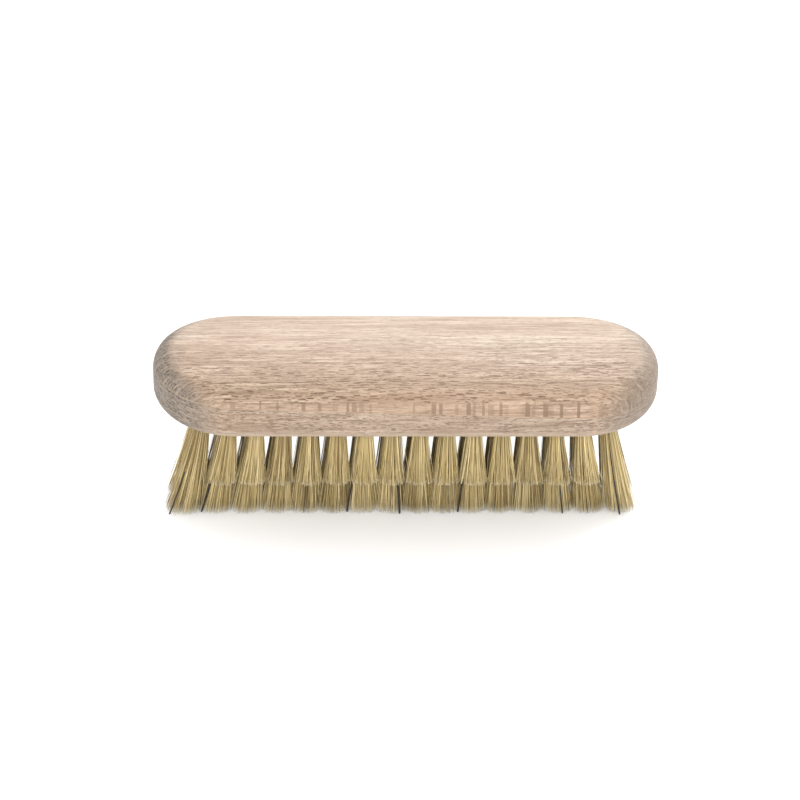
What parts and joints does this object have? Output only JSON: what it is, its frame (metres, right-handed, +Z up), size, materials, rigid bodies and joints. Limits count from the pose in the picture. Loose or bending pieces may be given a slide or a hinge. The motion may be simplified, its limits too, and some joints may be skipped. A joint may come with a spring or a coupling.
{
  "type": "clothes brush",
  "caption": "Oblong two-board beech clothes brush with round ends, crowned back and drawn-in natural bristle tufts, long in the middle rows and short in the outer rows.",
  "frame": {"origin": "under the middle of the block, in the plane of the long tufts' tips, on which the brush stands", "axes": "+X along the brush, +Y across it away from the front, +Z up from the bristle tips to the back"},
  "size_m": [0.15, 0.05, 0.054],
  "materials": {
    "beech_back": "fine sanded, unvarnished",
    "beech_base": "fine sanded, unvarnished",
    "wood_glue": "matt",
    "drawing_wire": "drawn",
    "bristle": "natural bristle"
  },
  "bodies": {
    "root": {"back_board": "beech_back", "tuft_board": "beech_base", "glue_film": "wood_glue", "drawing_wire_row_1": "drawing_wire", "drawing_wire_row_2": "drawing_wire", "drawing_wire_row_3": "drawing_wire", "drawing_wire_row_4": "drawing_wire", "long_tuft_front_01": "bristle", "long_tuft_front_02": "bristle", "long_tuft_front_03": "bristle", "long_tuft_front_04": "bristle", "long_tuft_front_05": "bristle", "long_tuft_front_06": "bristle", "long_tuft_front_07": "bristle", "long_tuft_front_08": "bristle", "long_tuft_front_09": "bristle", "long_tuft_front_10": "bristle", "long_tuft_front_11": "bristle", "long_tuft_front_12": "bristle", "long_tuft_front_13": "bristle", "long_tuft_front_14": "bristle", "long_tuft_front_15": "bristle", "long_tuft_front_16": "bristle", "long_tuft_back_01": "bristle", "long_tuft_back_02": "bristle", "long_tuft_back_03": "bristle", "long_tuft_back_04": "bristle", "long_tuft_back_05": "bristle", "long_tuft_back_06": "bristle", "long_tuft_back_07": "bristle", "long_tuft_back_08": "bristle", "long_tuft_back_09": "bristle", "long_tuft_back_10": "bristle", "long_tuft_back_11": "bristle", "long_tuft_back_12": "bristle", "long_tuft_back_13": "bristle", "long_tuft_back_14": "bristle", "long_tuft_back_15": "bristle", "long_tuft_back_16": "bristle", "short_tufts_01": "bristle", "short_tufts_02": "bristle", "short_tufts_03": "bristle", "short_tufts_04": "bristle", "short_tufts_05": "bristle", "short_tufts_06": "bristle", "short_tufts_07": "bristle", "short_tufts_08": "bristle", "short_tufts_09": "bristle", "short_tufts_10": "bristle", "short_tufts_11": "bristle", "short_tufts_12": "bristle", "short_tufts_13": "bristle", "short_tufts_14": "bristle"}
  },
  "joints": []
}
